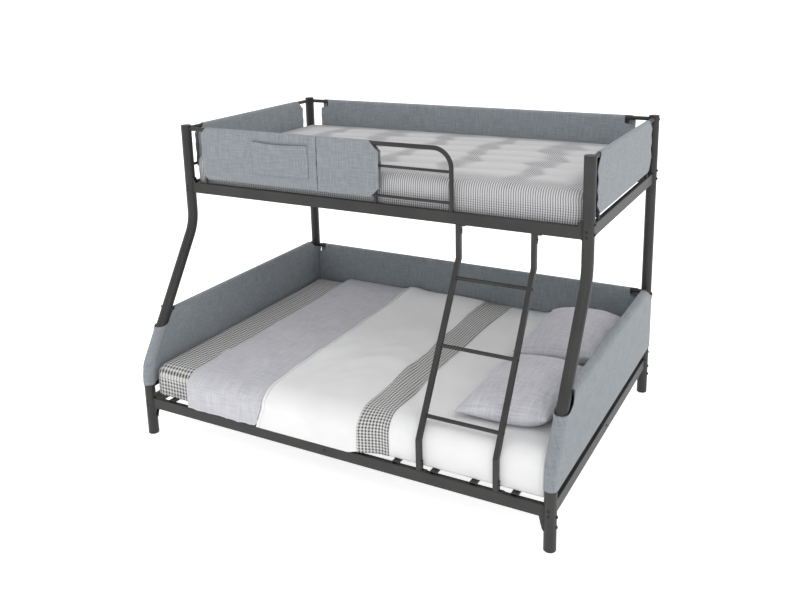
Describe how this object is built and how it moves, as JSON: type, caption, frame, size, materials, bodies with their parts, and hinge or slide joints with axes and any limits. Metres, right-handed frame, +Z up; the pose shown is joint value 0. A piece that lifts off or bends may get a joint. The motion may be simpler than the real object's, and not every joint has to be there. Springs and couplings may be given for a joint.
{
  "type": "metal bunk bed",
  "caption": "Twin over full metal bunk bed with bent front posts, a slanted ladder, fabric covers over its guards, a pocket, mattresses and made-up bedding.",
  "frame": {"origin": "on the floor, under the middle of the bed's rectangle of posts", "axes": "+X along the bed towards the pillows, +Y from the ladder side to the back, +Z up"},
  "size_m": [2.0026, 1.4668, 1.405],
  "materials": {
    "frame_paint": "matte powder coat",
    "black_plastic": "matte",
    "bolt_steel": "black oxide",
    "cover_linen": "woven linen look",
    "ticking": "finely striped, tufted",
    "check_cloth": "small black and white check",
    "grey_throw": "soft weave",
    "white_duvet": "smooth cotton",
    "pillow_cloth": "soft weave"
  },
  "bodies": {
    "bed": {"post_front_left": "frame_paint", "post_front_right": "frame_paint", "post_back_left": "frame_paint", "post_back_right": "frame_paint", "foot_front_left": "black_plastic", "foot_front_right": "black_plastic", "foot_back_left": "black_plastic", "foot_back_right": "black_plastic", "post_caps": "black_plastic", "centre_foot": "black_plastic", "upper_front_rail": "frame_paint", "upper_back_rail": "frame_paint", "lower_front_rail": "frame_paint", "lower_back_rail": "frame_paint", "upper_left_rail": "frame_paint", "upper_right_rail": "frame_paint", "lower_left_rail": "frame_paint", "lower_right_rail": "frame_paint", "centre_beam": "frame_paint", "cross_bars": "frame_paint", "centre_leg": "frame_paint", "upper_slats": "frame_paint", "lower_slats": "frame_paint", "ladder_left_rail": "frame_paint", "ladder_right_rail": "frame_paint", "ladder_rung_low": "frame_paint", "ladder_rung_middle": "frame_paint", "ladder_rung_high": "frame_paint", "ladder_brackets": "frame_paint", "upper_left_guard": "frame_paint", "upper_right_guard": "frame_paint", "upper_back_guard": "frame_paint", "upper_front_guard": "frame_paint", "lower_left_guard": "frame_paint", "lower_right_guard": "frame_paint", "lower_back_guard": "frame_paint", "upper_left_cover": "cover_linen", "upper_right_cover": "cover_linen", "upper_back_cover": "cover_linen", "front_pocket_cover": "cover_linen", "front_plain_cover": "cover_linen", "pocket": "cover_linen", "lower_left_cover": "cover_linen", "lower_right_cover": "cover_linen", "lower_back_cover": "cover_linen", "side_rail_bolts": "bolt_steel", "end_rail_bolts": "bolt_steel", "rail_nuts": "bolt_steel", "guard_bolts": "bolt_steel", "ladder_bolts": "bolt_steel", "beam_bolts": "bolt_steel", "lower_mattress": "ticking", "fitted_sheet": "check_cloth", "throw_blanket": "grey_throw", "duvet": "white_duvet", "bed_runner": "check_cloth"},
    "mattress_upper": {"upper_mattress": "ticking"},
    "front_pillow": {"pillow_front": "pillow_cloth"},
    "back_pillow": {"pillow_back": "pillow_cloth"}
  },
  "joints": [
    {"name": "upper_mattress_lift", "type": "slide", "parent": "bed", "child": "mattress_upper", "axis": [0, 0, 1], "range_m": [0, 0.28]},
    {"name": "pillow_front_lift", "type": "slide", "parent": "bed", "child": "front_pillow", "axis": [0, 0.5193, 0.8546], "range_m": [0, 0.08]},
    {"name": "pillow_back_lift", "type": "slide", "parent": "bed", "child": "back_pillow", "axis": [0, 0, 1], "range_m": [0, 0.3]}
  ]
}
